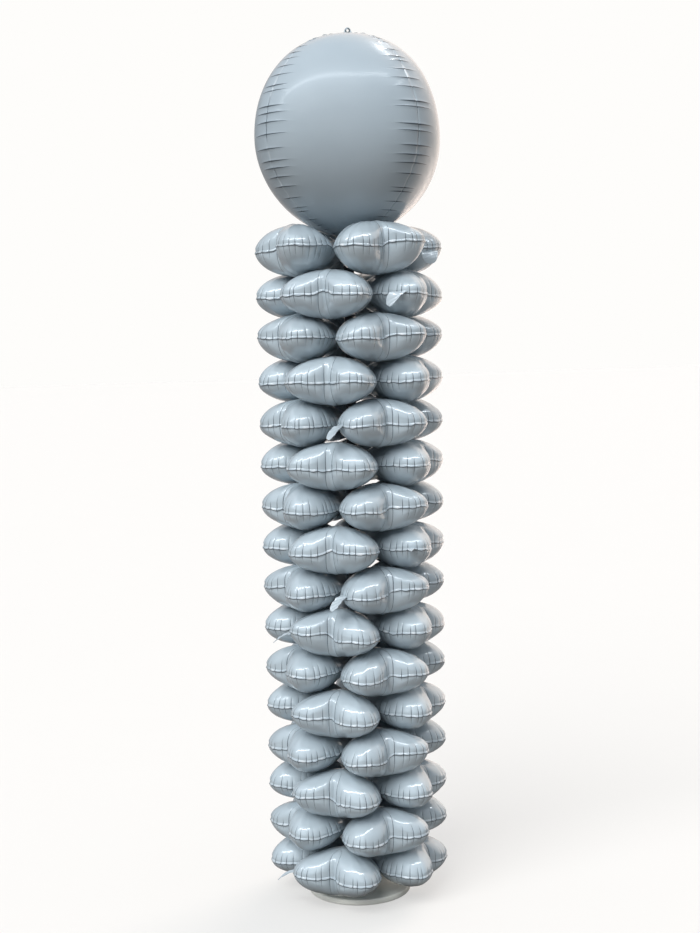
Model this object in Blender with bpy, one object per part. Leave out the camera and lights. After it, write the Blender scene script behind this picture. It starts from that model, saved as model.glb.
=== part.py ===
"""A foil balloon column: four-lobed foil balloons stacked on a pole, with a round foil balloon on top.

Metres, +Z up. The origin is the centre of the base plate's underside, on the column's axis.
Every second balloon has its lobes on the X and Y axes, and those between are turned by 45 degrees.
"""

import math

import bmesh
import bpy
from mathutils import Vector

# The gap that separate pieces keep where they touch
SEAT_GAP = 0.0003

# Base plate, socket and pole
PLATE_RADIUS = 0.1125
PLATE_HEIGHT = 0.013
PLATE_EDGE_ROUND = 0.003
SOCKET_FOOT_RADIUS = 0.030
SOCKET_NECK_RADIUS = 0.0165
SOCKET_FLANGE_HEIGHT = 0.005
POLE_RADIUS = 0.011
ROUND_SIDES = 32

# The stack of four-lobed balloons
LAYER_COUNT = 16
LAYER_PITCH = 0.0875
FIRST_SEAM_HEIGHT = 0.077
LOBES = 4
LOBE_REACH = 0.2005
CROWN_RADIUS = 0.105
PILLOW_HALF_HEIGHT = 0.050
SEAM_THICKNESS = 0.001
HUB_HOLE_RADIUS = POLE_RADIUS + SEAT_GAP
NEST_GAP = 0.003

# A lobe is heart-shaped: (degrees from the lobe's own axis, share of LOBE_REACH), cleft to notch
LOBE_OUTLINE = ((0, 0.82), (12, 0.955), (24, 0.995), (35, 0.86), (45, 0.45))
# Two more places on the crease between neighbouring lobes: shares of LOBE_REACH at 45 degrees
CREASE_SHARES = (0.22, 0.10)
# Rings of the pillow's surface, as shares of the way from the hub's hole to the seam
PILLOW_RINGS = (0.0, 0.34, 0.64, 0.87, 1.0)

# The filling tail on one lobe: where its root lies on the seam, in degrees, and its droop
TAIL_ROOT = (-34, -27.5)
TAIL_HEADING = math.radians(-72)
# (length of the step, metres; slope of the step, degrees; width against the root's)
TAIL_STEPS = ((0.013, -18, 1.0), (0.015, -36, 0.95), (0.012, -48, 0.8), (0.006, -50, 0.4))

# Heading of the lobe that carries the tail, in degrees, from the lowest balloon up
TAIL_LOBE_HEADINGS = (-135, 90, -135, 90, 135, 90, -135, -90, -45, 90, 135, -90, 45, 90, -45, 0)

# Round balloon on top: four panels of a 10 mm shell, square-shouldered across its seams
TOPPER_HALF_WIDTH = 0.188
TOPPER_UPPER_HEIGHT = 0.207
TOPPER_LOWER_HEIGHT = 0.195
TOPPER_EQUATOR_ABOVE_TOP_SEAM = 0.2295
TOPPER_SQUARENESS = 3.1
# Under 1 makes a half fuller than an ellipse, over 1 leaner
TOPPER_UPPER_TAPER = 0.88
TOPPER_LOWER_TAPER = 1.05
TOPPER_HEADING = math.radians(-122)
PANELS = 4
PANEL_SHELL = 0.010
# Rows of a panel's points, in degrees above and below the equator
PANEL_RISES = (-88, -81.3, -73, -62, -50, -38, -25, -12, 0, 12, 25, 38, 51, 63, 75, 83.5, 88.3)
PANEL_COLUMNS = 6
PANEL_SEAM_SHIFT = 0.00025

# Cup that carries the round balloon on the pole's end: its rim lies between two rows of the panels
CUP_RIM = 0.0235
CUP_RIM_INSIDE = 0.0205
CUP_FOOT_RADIUS = 0.0155
CUP_SOCKET_DEPTH = 0.009
CUP_WALL = 0.003
CUP_HEIGHT = 0.010

# Hanging tab with an eyelet on the very top
TAB_WIDTH = 0.014
TAB_HEIGHT = 0.015
TAB_THICKNESS = 0.0012
TAB_FOOT_RADIUS = 0.013
EYELET_RADIUS = 0.002
EYELET_HEIGHT = 0.009

TOP_SEAM_HEIGHT = FIRST_SEAM_HEIGHT + (LAYER_COUNT - 1) * LAYER_PITCH
TOPPER_EQUATOR = TOP_SEAM_HEIGHT + TOPPER_EQUATOR_ABOVE_TOP_SEAM
TOPPER_BOTTOM = TOPPER_EQUATOR - TOPPER_LOWER_HEIGHT
TOPPER_TOP = TOPPER_EQUATOR + TOPPER_UPPER_HEIGHT
POLE_TOP = TOPPER_BOTTOM - CUP_WALL - CUP_HEIGHT
SHADE_SMOOTH_UP_TO = math.radians(35)


def clear_scene():
    for old in list(bpy.data.objects):
        bpy.data.objects.remove(old, do_unlink=True)


def make_material(name, colour, roughness, metallic):
    material = bpy.data.materials.new(name)
    material.use_nodes = True
    shader = material.node_tree.nodes["Principled BSDF"]
    shader.inputs["Base Color"].default_value = (*colour, 1.0)
    shader.inputs["Roughness"].default_value = roughness
    shader.inputs["Metallic"].default_value = metallic
    material.diffuse_color = (*colour, 1.0)
    return material


def make_object(name, mesh, material, parent=None):
    made = bpy.data.objects.new(name, mesh)
    bpy.context.scene.collection.objects.link(made)
    if not mesh.materials:
        mesh.materials.append(material)
    made.parent = parent
    return made


def finish_mesh(shape, name):
    """A mesh from a bmesh, smooth apart from its real edges."""
    mesh = bpy.data.meshes.new(name)
    shape.to_mesh(mesh)
    shape.free()
    mesh.shade_smooth()
    mesh.set_sharp_from_angle(angle=SHADE_SMOOTH_UP_TO)
    return mesh


def turned_mesh(name, profile, sides=ROUND_SIDES):
    """A closed ring or disc from a closed (radius, height) profile, going round it anticlockwise as seen with
    the axis on the left. A point with radius 0 lies on the axis and is used once."""
    shape = bmesh.new()
    rings = []
    for radius, height in profile:
        if radius == 0:
            rings.append([shape.verts.new((0, 0, height))] * sides)
            continue
        turns = [2 * math.pi * side / sides for side in range(sides)]
        rings.append([shape.verts.new((radius * math.cos(t), radius * math.sin(t), height)) for t in turns])
    closed = all(radius > 0 for radius, _ in profile)
    pairs = list(zip(rings, rings[1:]))
    if closed:
        pairs.append((rings[-1], rings[0]))
    for lower, upper in pairs:
        for side in range(sides):
            after = (side + 1) % sides
            corners = [lower[side], lower[after], upper[after], upper[side]]
            shape.faces.new(list(dict.fromkeys(corners)))
    return finish_mesh(shape, name)


def base_plate_profile():
    r, h, e = PLATE_RADIUS, PLATE_HEIGHT, PLATE_EDGE_ROUND
    lean = e * (1 - math.sqrt(0.5))
    return (
        (0, 0),
        (r - e, 0),
        (r - lean, lean),
        (r, e),
        (r, h - e),
        (r - lean, h - lean),
        (r - e, h),
        (0, h),
    )


def base_socket_profile():
    """A flanged socket whose rim is as high as the lowest balloon's underside there, so it carries the stack."""
    foot = PLATE_HEIGHT + SEAT_GAP
    inner = POLE_RADIUS + SEAT_GAP
    first_ring = HUB_HOLE_RADIUS + (outline_reach(0) - HUB_HOLE_RADIUS) * PILLOW_RINGS[1]
    swell = pillow_height(first_ring, 0) - SEAM_THICKNESS / 2
    belly = SEAM_THICKNESS / 2 + swell * (SOCKET_NECK_RADIUS - HUB_HOLE_RADIUS) / (first_ring - HUB_HOLE_RADIUS)
    rim = FIRST_SEAM_HEIGHT - belly - SEAT_GAP
    return (
        (inner, foot),
        (SOCKET_FOOT_RADIUS, foot),
        (SOCKET_FOOT_RADIUS, foot + SOCKET_FLANGE_HEIGHT),
        (SOCKET_NECK_RADIUS, foot + SOCKET_FLANGE_HEIGHT * 2),
        (SOCKET_NECK_RADIUS, rim),
        (inner, rim),
    )


def pole_profile():
    foot = PLATE_HEIGHT + SEAT_GAP
    return ((0, foot), (POLE_RADIUS, foot), (POLE_RADIUS, POLE_TOP), (0, POLE_TOP))


def topper_cup_profile():
    """A cup whose rim carries the round balloon and whose blind socket turns on the pole's end."""
    bore = POLE_RADIUS + SEAT_GAP
    seat = POLE_TOP + SEAT_GAP
    foot = seat - CUP_SOCKET_DEPTH
    flare = seat + 0.002
    dish = TOPPER_BOTTOM - CUP_WALL
    return (
        (0, seat),
        (bore, seat),
        (bore, foot),
        (CUP_FOOT_RADIUS, foot),
        (CUP_FOOT_RADIUS, flare),
        (CUP_RIM, topper_underside(CUP_RIM) - SEAT_GAP),
        (CUP_RIM_INSIDE, topper_underside(CUP_RIM_INSIDE) - SEAT_GAP),
        (CUP_FOOT_RADIUS - CUP_WALL, dish),
        (0, dish),
    )


def topper_underside(radius):
    """Height of the round balloon's underside between the two lowest rows of its panels."""
    low, high = (topper_point(math.radians(rise), 0, 0) for rise in PANEL_RISES[:2])
    return TOPPER_EQUATOR + low.z + (high.z - low.z) * (radius - low.x) / (high.x - low.x)


def outline_reach(degrees):
    """Distance from the column's axis to a lobe's seam, at this many degrees from the lobe's own axis."""
    angle = abs(degrees)
    for (a, near), (b, far) in zip(LOBE_OUTLINE, LOBE_OUTLINE[1:]):
        if angle <= b:
            return LOBE_REACH * (near + (far - near) * (angle - a) / (b - a))
    return LOBE_REACH * LOBE_OUTLINE[-1][1]


def seam_seen_from_crown():
    """The half outline of a lobe as (direction, distance) from the pillow's crown, from the cleft round to the hub."""
    corners = [(math.radians(a), share * LOBE_REACH) for a, share in LOBE_OUTLINE]
    corners += [(math.radians(45), share * LOBE_REACH) for share in CREASE_SHARES]
    corners.append((0.0, HUB_HOLE_RADIUS))
    seen = []
    for angle, radius in corners:
        ahead = radius * math.cos(angle) - CROWN_RADIUS
        aside = radius * math.sin(angle)
        seen.append((math.atan2(aside, ahead), math.hypot(ahead, aside)))
    return seen


SEAM_FROM_CROWN = seam_seen_from_crown()


def free_height(x, y):
    """Height of an inflated lobe above its seam at (x, y), with the lobe's own axis on +X. It is a quarter
    ellipse from the crown out to the seam in every direction, and leaner towards the hub."""
    direction = abs(math.atan2(y, x - CROWN_RADIUS))
    away = math.hypot(x - CROWN_RADIUS, y)
    edge = SEAM_FROM_CROWN[-1][1]
    for (a, near), (b, far) in zip(SEAM_FROM_CROWN, SEAM_FROM_CROWN[1:]):
        if direction <= b:
            edge = near + (far - near) * (direction - a) / (b - a)
            break
    share = min(away / edge, 1.0)
    lean = 0.52 + 0.45 * ((1 - math.cos(direction)) / 2) ** 3
    return PILLOW_HALF_HEIGHT * (1 - share * share) ** lean


def lobe_height(radius, degrees):
    """Free height at a place given from the column's axis, whichever lobe it lies in."""
    quarter = 360 / LOBES
    within = (degrees + quarter / 2) % quarter - quarter / 2
    angle = math.radians(within)
    return free_height(radius * math.cos(angle), radius * math.sin(angle))


def pillow_height(radius, degrees):
    """Height with its neighbours in place: a balloon and the next one, turned by half a lobe, share the pitch."""
    own = lobe_height(radius, degrees)
    other = lobe_height(radius, degrees + 180 / LOBES)
    squeeze = max(0.0, own + other - (LAYER_PITCH - NEST_GAP))
    return max(own - squeeze / 2, SEAM_THICKNESS / 2)


def lobe_columns():
    """Directions, in degrees, of the columns of points of a four-lobed balloon. The first lobe has two more,
    at the root of its tail."""
    inner = [a for a, _ in LOBE_OUTLINE[:-1]]
    half = [-a for a in reversed(inner[1:])] + inner
    columns = []
    for lobe in range(LOBES):
        angles = half + [LOBE_OUTLINE[-1][0]]
        if lobe == 0:
            angles = sorted(angles + list(TAIL_ROOT))
        columns += [angle + lobe * 360 / LOBES for angle in angles]
    return columns


def lobed_balloon_mesh():
    """One foil balloon of four heart-shaped pillows round a hole for the pole, closed at its seam."""
    shape = bmesh.new()
    columns = lobe_columns()
    quarter = 360 / LOBES
    upper, lower = [], []
    for degrees in columns:
        within = (degrees + quarter / 2) % quarter - quarter / 2
        reach = outline_reach(within)
        turn = math.radians(degrees)
        top, bottom = [], []
        for ring in PILLOW_RINGS:
            radius = HUB_HOLE_RADIUS + (reach - HUB_HOLE_RADIUS) * ring
            edge = ring in (PILLOW_RINGS[0], PILLOW_RINGS[-1])
            height = SEAM_THICKNESS / 2 if edge else pillow_height(radius, degrees)
            place = (radius * math.cos(turn), radius * math.sin(turn))
            top.append(shape.verts.new((*place, height)))
            bottom.append(shape.verts.new((*place, -height)))
        upper.append(top)
        lower.append(bottom)
    count = len(columns)
    tail_face = None
    for here in range(count):
        after = (here + 1) % count
        for ring in range(len(PILLOW_RINGS) - 1):
            shape.faces.new((upper[here][ring], upper[here][ring + 1], upper[after][ring + 1], upper[after][ring]))
            shape.faces.new((lower[here][ring], lower[after][ring], lower[after][ring + 1], lower[here][ring + 1]))
        wall = shape.faces.new((upper[here][-1], lower[here][-1], lower[after][-1], upper[after][-1]))
        shape.faces.new((upper[here][0], upper[after][0], lower[after][0], lower[here][0]))
        if columns[here] == TAIL_ROOT[0]:
            tail_face = wall
    add_tail(shape, tail_face)
    return finish_mesh(shape, "four_lobed_balloon")


def add_tail(shape, face):
    """Draws the flat filling tail out of the seam's outer wall: sideways into the notch, then drooping."""
    across = Vector((-math.sin(TAIL_HEADING), math.cos(TAIL_HEADING), 0))
    root_width = max((a.co - b.co).length for a in face.verts for b in face.verts)
    for step, slope, width in TAIL_STEPS:
        angle = math.radians(slope)
        ahead = Vector((math.cos(TAIL_HEADING), math.sin(TAIL_HEADING), 0)) * math.cos(angle)
        ahead.z = math.sin(angle)
        thick = ahead.cross(across).normalized()
        centre = face.calc_center_median() + ahead * step
        sides = [math.copysign(1, (v.co - face.calc_center_median()).dot(across)) for v in face.verts]
        levels = [math.copysign(1, (v.co - face.calc_center_median()).dot(thick)) for v in face.verts]
        result = bmesh.ops.extrude_discrete_faces(shape, faces=[face])
        face = result["faces"][0]
        for vert, side, level in zip(face.verts, sides, levels):
            vert.co = centre + across * side * width * root_width / 2 + thick * level * SEAM_THICKNESS / 2


def topper_point(rise, turn, inset):
    """A point of the round balloon: rise is the angle above its equator and turn the angle from a panel's middle.
    Across, it is a rounded square at the equator and round at the poles."""
    height, taper = TOPPER_LOWER_HEIGHT, TOPPER_LOWER_TAPER
    if rise > 0:
        height, taper = TOPPER_UPPER_HEIGHT, TOPPER_UPPER_TAPER
    power = 2 + (TOPPER_SQUARENESS - 2) * math.cos(rise) ** 2
    swell = (abs(math.cos(turn)) ** power + abs(math.sin(turn)) ** power) ** (-1 / power)
    radius = TOPPER_HALF_WIDTH * math.cos(rise) ** taper * swell * (1 - inset / TOPPER_HALF_WIDTH)
    return Vector((radius * math.cos(turn), radius * math.sin(turn), (height - inset) * math.sin(rise)))


def topper_panel_mesh():
    """One of the four panels, from seam to seam about +X, as a curved 10 mm shell."""
    shape = bmesh.new()
    rises = [math.radians(rise) for rise in PANEL_RISES]
    rows = len(rises) - 1
    half = math.pi / PANELS
    turns = [half * (2 * column / PANEL_COLUMNS - 1) for column in range(PANEL_COLUMNS + 1)]
    shift = Vector((PANEL_SEAM_SHIFT, 0, 0))
    outer, inner = (
        [[shape.verts.new(topper_point(rise, turn, inset) + shift) for turn in turns] for rise in rises]
        for inset in (0, PANEL_SHELL)
    )
    for row in range(rows):
        for column in range(PANEL_COLUMNS):
            corners = ((row, column), (row, column + 1), (row + 1, column + 1), (row + 1, column))
            shape.faces.new([outer[r][c] for r, c in corners])
            shape.faces.new([inner[r][c] for r, c in reversed(corners)])
    border = [(0, c) for c in range(PANEL_COLUMNS)]
    border += [(r, PANEL_COLUMNS) for r in range(rows)]
    border += [(rows, c) for c in range(PANEL_COLUMNS, 0, -1)]
    border += [(r, 0) for r in range(rows, 0, -1)]
    for (r, c), (s, d) in zip(border, border[1:] + border[:1]):
        shape.faces.new((outer[s][d], outer[r][c], inner[r][c], inner[s][d]))
    return finish_mesh(shape, "topper_panel")


def hang_tab_mesh():
    """An upright tab with a round top, standing on a thin round foot."""
    shape = bmesh.new()
    half = TAB_WIDTH / 2
    shoulder = TAB_HEIGHT - half
    arc = [math.pi * step / 8 for step in range(9)]
    outline = [(-half, TAB_THICKNESS / 2), (half, TAB_THICKNESS / 2)]
    outline += [(half * math.cos(a), shoulder + half * math.sin(a)) for a in arc]
    face = shape.faces.new([shape.verts.new((x, -TAB_THICKNESS / 2, z)) for x, z in outline])
    sheet = bmesh.ops.extrude_face_region(shape, geom=[face])
    moved = [v for v in sheet["geom"] if isinstance(v, bmesh.types.BMVert)]
    bmesh.ops.translate(shape, verts=moved, vec=(0, TAB_THICKNESS, 0))
    bmesh.ops.recalc_face_normals(shape, faces=shape.faces)
    return finish_mesh(shape, "hang_tab")


def helper_object(name, mesh, material):
    """A cutter or an added shape of a Boolean, which is no piece of its own."""
    helper = make_object(name, mesh, material)
    helper.hide_render = True
    helper.display_type = "WIRE"
    return helper


def add_boolean(piece, helper, operation):
    modifier = piece.modifiers.new(helper.name, "BOOLEAN")
    modifier.operation = operation
    modifier.object = helper


def cylinder_profile(radius, low, high):
    return ((0, low), (radius, low), (radius, high), (0, high))


def build_stand(metal, plastic):
    make_object("base_plate", turned_mesh("base_plate", base_plate_profile(), 2 * ROUND_SIDES), metal)
    make_object("base_socket", turned_mesh("base_socket", base_socket_profile()), plastic)
    make_object("pole", turned_mesh("pole", pole_profile(), ROUND_SIDES), plastic)


def build_stack(foil):
    mesh = lobed_balloon_mesh()
    for layer, heading in enumerate(TAIL_LOBE_HEADINGS):
        balloon = make_object(f"lobed_balloon_{layer + 1:02d}", mesh, foil)
        balloon.location.z = FIRST_SEAM_HEIGHT + layer * LAYER_PITCH
        balloon.rotation_euler.z = math.radians(heading)


def build_topper(foil, plastic):
    pivot = bpy.data.objects.new("topper_pivot", None)
    pivot.location.z = POLE_TOP
    pivot.rotation_euler.z = TOPPER_HEADING
    bpy.context.scene.collection.objects.link(pivot)
    mesh = topper_panel_mesh()
    for number in range(PANELS):
        panel = make_object(f"topper_panel_{number + 1}", mesh, foil, pivot)
        panel.location.z = TOPPER_EQUATOR - POLE_TOP
        panel.rotation_euler.z = 2 * math.pi * number / PANELS
    cup = make_object("topper_cup", turned_mesh("topper_cup", topper_cup_profile()), plastic, pivot)
    cup.location.z = -POLE_TOP
    build_hang_tab(foil, pivot)


def build_hang_tab(foil, pivot):
    tab = make_object("hang_tab", hang_tab_mesh(), foil, pivot)
    tab.location.z = TOPPER_TOP + SEAT_GAP - POLE_TOP
    tab.rotation_euler.z = math.pi / 2
    foot_mesh = turned_mesh("tab_foot", cylinder_profile(TAB_FOOT_RADIUS, 0, TAB_THICKNESS))
    foot = helper_object("tab_foot", foot_mesh, foil)
    hole_mesh = turned_mesh("eyelet_cutter", cylinder_profile(EYELET_RADIUS, -TAB_WIDTH, TAB_WIDTH), 12)
    hole = helper_object("eyelet_cutter", hole_mesh, foil)
    hole.rotation_euler.x = math.pi / 2
    hole.location.z = EYELET_HEIGHT
    for helper in (foot, hole):
        helper.parent = tab
    add_boolean(tab, foot, "UNION")
    add_boolean(tab, hole, "DIFFERENCE")


def main():
    clear_scene()
    foil = make_material("pearl_grey_foil", (0.36, 0.43, 0.48), 0.3, 0.3)
    metal = make_material("cream_painted_steel", (0.62, 0.62, 0.57), 0.45, 0.0)
    plastic = make_material("dark_grey_plastic", (0.05, 0.055, 0.06), 0.45, 0.0)
    build_stand(metal, plastic)
    build_stack(foil)
    build_topper(foil, plastic)


main()
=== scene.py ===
import math

import bpy
import numpy as np
from mathutils import Matrix, Vector


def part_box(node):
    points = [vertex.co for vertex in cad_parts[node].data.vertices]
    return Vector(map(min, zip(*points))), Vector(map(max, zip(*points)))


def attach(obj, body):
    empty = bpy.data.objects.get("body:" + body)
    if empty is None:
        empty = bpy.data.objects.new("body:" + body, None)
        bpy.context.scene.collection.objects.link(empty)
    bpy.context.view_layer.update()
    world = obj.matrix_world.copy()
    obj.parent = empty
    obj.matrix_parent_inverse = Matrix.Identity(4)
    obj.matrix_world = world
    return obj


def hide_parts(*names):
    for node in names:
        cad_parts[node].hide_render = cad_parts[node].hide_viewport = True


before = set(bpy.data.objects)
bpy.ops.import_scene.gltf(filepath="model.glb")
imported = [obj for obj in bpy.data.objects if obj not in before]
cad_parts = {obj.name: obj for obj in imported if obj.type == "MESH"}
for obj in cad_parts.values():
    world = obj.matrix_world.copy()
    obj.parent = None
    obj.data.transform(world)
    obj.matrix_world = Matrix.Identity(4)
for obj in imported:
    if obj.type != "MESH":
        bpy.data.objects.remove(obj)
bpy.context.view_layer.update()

# Sizes are in metres and angles in degrees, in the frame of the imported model: +Z up, the axis at X = Y = 0.


# Small tools for meshes and materials

def toLinear(hexColour):  # sRGB hex text to the linear colour that shaders take
    parts = np.array([int(hexColour[i:i + 2], 16) / 255 for i in (1, 3, 5)])
    linear = np.where(parts <= 0.04045, parts / 12.92, ((parts + 0.055) / 1.055) ** 2.4)
    return (*linear.tolist(), 1.0)


def addNode(tree, kind, settings=None, links=None):
    # Adds a shader node with its values and what feeds it, and gives back its outputs. Mix nodes mix colours
    node = tree.nodes.new("ShaderNode" + kind)
    if kind == "Mix":
        node.data_type = "RGBA"
    for name, value in (settings or {}).items():
        if isinstance(name, int) or name in node.inputs:
            node.inputs[name].default_value = value
        else:
            setattr(node, name, value)
    for name, socket in (links or {}).items():
        tree.links.new(socket, node.inputs[name])
    return node.outputs


def startMaterial(name, shaderSettings):
    # A material, its node tree, its shader and the place on the object, as its patterns take it
    material = bpy.data.materials.new(name)
    material.use_nodes = True
    tree = material.node_tree
    shader = tree.nodes["Principled BSDF"]
    for socket, value in shaderSettings.items():
        shader.inputs[socket].default_value = value
    return material, tree, shader, addNode(tree, "TexCoord")["Object"]


def gridNormals(points, closed=False):  # cross product of the two grid directions, at every grid point
    wide = np.concatenate([points[:, -1:], points, points[:, :1]], axis=1) if closed else points
    across = np.gradient(wide, axis=1)
    across = across[:, 1:-1] if closed else across
    normals = np.cross(across, np.gradient(points, axis=0))
    return normals / np.maximum(np.linalg.norm(normals, axis=-1, keepdims=True), 1e-12)


def gridFaces(rows, columns, first=0, closed=False):  # quads of a rows x columns grid, row by row
    index = np.arange(rows * columns).reshape(rows, columns) + first
    if closed:
        index = np.concatenate([index, index[:, :1]], axis=1)
    corners = (index[:-1, :-1], index[1:, :-1], index[1:, 1:], index[:-1, 1:])
    return np.stack(corners, axis=-1).reshape(-1, 4)


def thinSheet(points, thickness, marks, closed=False):
    # A closed sheet: the grid itself, a copy pushed back by the thickness, and rims along its open sides
    rows, columns, _ = points.shape
    back = points - gridNormals(points, closed) * thickness
    count = rows * columns
    index = np.arange(count).reshape(rows, columns)
    if closed:
        borders = [index[0], index[-1, ::-1]]
    else:
        borders = [np.concatenate([index[0, :-1], index[:-1, -1], index[-1, :0:-1], index[:0:-1, 0]])]
    faces = [gridFaces(rows, columns, 0, closed)[:, ::-1], gridFaces(rows, columns, count, closed)]
    for border in borders:
        after = np.roll(border, -1)
        faces.append(np.stack([border, after, after + count, border + count], axis=-1)[:, ::-1])
    part = {"points": np.concatenate([points.reshape(-1, 3), back.reshape(-1, 3)])}
    part["faces"] = np.concatenate(faces).tolist()
    part["marks"] = {name: np.tile(values.ravel(), 2) for name, values in marks.items()}
    return part


def lathePart(profile, sides):
    # A closed (radius, height) profile carried round the axis; one that starts and ends on it is capped there
    profile = np.array(profile, float)
    capped = profile[0, 0] == 0
    ring = profile[1:-1] if capped else np.concatenate([profile, profile[:1]])
    turns = np.linspace(0, 2 * math.pi, sides, endpoint=False)
    radii, heights = ring[:, :1], ring[:, 1:]
    points = np.stack([radii * np.cos(turns), radii * np.sin(turns), heights + 0 * turns], axis=-1)
    points = points.reshape(-1, 3)
    faces = gridFaces(len(ring), sides, closed=True)[:, ::-1].tolist()
    if not capped:
        count = (len(ring) - 1) * sides
        faces = [[corner % count for corner in face] for face in faces]
        return {"points": points[:count], "faces": faces, "marks": {}}
    around = np.arange(sides)
    ahead = np.roll(around, -1)
    first, last, lastRing = len(points), len(points) + 1, len(points) - sides
    faces += np.stack([np.full(sides, first), ahead, around], axis=-1).tolist()
    faces += np.stack([np.full(sides, last), around + lastRing, ahead + lastRing], axis=-1).tolist()
    points = np.concatenate([points, [[0, 0, profile[0, 1]], [0, 0, profile[-1, 1]]]])
    return {"points": points, "faces": faces, "marks": {}}


def roundedProfile(corners, radius, steps):
    # Each sharp corner of a (radius, height) profile becomes a quadratic curve between its two sides
    corners = np.array(corners, float)
    line = [corners[:1]]
    for before, corner, after in zip(corners[:-2], corners[1:-1], corners[2:]):
        reach = min(radius, np.linalg.norm(corner - before) / 2.2, np.linalg.norm(after - corner) / 2.2)
        start = corner + (before - corner) / np.linalg.norm(before - corner) * reach
        end = corner + (after - corner) / np.linalg.norm(after - corner) * reach
        t = np.linspace(0, 1, steps)[:, None]
        line.append((1 - t) ** 2 * start + 2 * t * (1 - t) * corner + t ** 2 * end)
    line.append(corners[-1:])
    return np.concatenate(line)


def towards(heading):  # the level unit vector of a heading
    return np.array([math.cos(math.radians(heading)), math.sin(math.radians(heading)), 0])


def turned(points, degrees):  # points turned about the column's axis
    cosine, sine, _ = towards(degrees)
    return points @ np.array([[cosine, -sine, 0], [sine, cosine, 0], [0, 0, 1]]).T


def wander(rng, where, wavelength):
    # A smooth random curve between about -1 and 1: the sum of five sine waves
    phases = rng.uniform(0, 2 * math.pi, 5)
    rates = 2 * math.pi / wavelength * rng.uniform(0.5, 1.6, 5)
    return np.sin(where[..., None] * rates + phases).sum(axis=-1) / math.sqrt(5 * 0.5) * 0.7


def betweenPleats(edges, shares):
    # Places for a grid's lines along a seam: the same shares of every gap from one pleat to the next
    return (edges[:-1, None] + np.diff(edges)[:, None] * np.array(shares)).ravel()


def pleatCusps(where, edges):
    # Signed distance from every place along a seam to every pleat, and how much of the pleat is felt there.
    # The film bulges between two pleats, so that falls from 1 to 0 by (1 - distance / spacing)^2.4
    signed = where[:, None] - edges[1:-1]
    spacing = np.where(signed > 0, np.diff(edges)[1:], np.diff(edges)[:-1])
    return signed, np.clip(1 - np.abs(signed) / spacing, 0, 1) ** 2.4


def makePiece(name, parts, material, body, nodes, sharpOver):
    # One mesh object from several closed parts, riding on its body in place of its CAD nodes
    faces, offset = [], 0
    for part in parts:
        faces += [[corner + offset for corner in face] for face in part["faces"]]
        offset += len(part["points"])
    mesh = bpy.data.meshes.new(name)
    mesh.from_pydata(np.concatenate([part["points"] for part in parts]), [], faces)
    # the painted shade and painted highlight marks, and their values where a part has none
    for mark, without in (("crease", -4.0), ("weld", 0.0)):
        values = [part["marks"].get(mark, np.full(len(part["points"]), without)) for part in parts]
        attribute = mesh.attributes.new(mark, "FLOAT", "POINT")
        attribute.data.foreach_set("value", np.concatenate(values).astype(np.float32))
    mesh.shade_smooth()
    mesh.set_sharp_from_angle(angle=math.radians(sharpOver))
    mesh.materials.append(material)
    piece = bpy.data.objects.new(name, mesh)
    bpy.context.scene.collection.objects.link(piece)
    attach(piece, body)
    if nodes:
        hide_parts(*nodes)


# Camera, floor and light

cameraView = {
    "heading": -117.48,     # direction from the axis to the camera
    "distance": 3.1718,     # from the axis, level
    "height": 1.2128,
    "pitchDown": 8.836,
    "yaw": 0.167,
    "roll": -1.056,
    "lens": 57.284,         # mm, on a film 36 mm high
    "shiftUp": 0.11,
}


def makeCamera():
    data = bpy.data.cameras.new("photoCamera")
    data.sensor_fit = "VERTICAL"
    data.sensor_height = 36
    data.lens = cameraView["lens"]
    data.shift_y = cameraView["shiftUp"]
    data.clip_end = 200
    camera = bpy.data.objects.new("photoCamera", data)
    place = cameraView["distance"] * towards(cameraView["heading"]) + np.array([0, 0, cameraView["height"]])
    heading = math.radians(cameraView["heading"]) + math.radians(90 + cameraView["yaw"])
    turn = Matrix.Rotation(heading, 4, "Z")
    tilt = Matrix.Rotation(math.radians(90 - cameraView["pitchDown"]), 4, "X")
    roll = Matrix.Rotation(math.radians(cameraView["roll"]), 4, "Z")
    camera.matrix_world = Matrix.Translation(place) @ turn @ tilt @ roll
    bpy.context.scene.collection.objects.link(camera)
    bpy.context.scene.camera = camera


studio = {
    "floorSize": 80,
    "floorColour": "#969593",
    "floorGrain": 0.985,          # how bright its darker spots are against that
    "floorGlow": ("#fffffe", 0.49),   # light it sends to the camera besides, which keeps its shadows faint
    "floorMirrored": "#7e7d7d",   # as the film reflects it
    "paleReach": (1.6, 3.6),      # from where to where the mirrored floor goes over to the pale wall's colour
    "bounce": ("#645f57", "#726e69"),   # what it throws back at the object, from near the axis and from afar
    "bounceReach": (0.4, 1.6),    # how near and how far those are
    "backdrop": "#fefdfb",
    "zenith": "#e3e9f0",
    "horizon": "#62666b",
    "horizonMirrored": "#94979a",
    "hazeTop": 0.45,              # up to which height, as a share of the sky's, the mirrored horizon is felt
    "wallGlow": "#fdf0e6",        # the studio's pale wall behind the object, as the film reflects it
    "wallPower": 1.1,             # how many times as bright as that it is
    "wallHeading": 22,
    "wallHeight": 22,
    "wallReach": (60, 26),        # degrees from its middle to where it ends, and to where it is even
}

# name: strength, colour, degrees across, heading it comes from, degrees above level
sunTable = {
    "softKey": (3.3, "#ffffff", 45, -148, 42),
    "warmSide": (2.6, "#fff0e6", 36, 30, 29),
}

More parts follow.
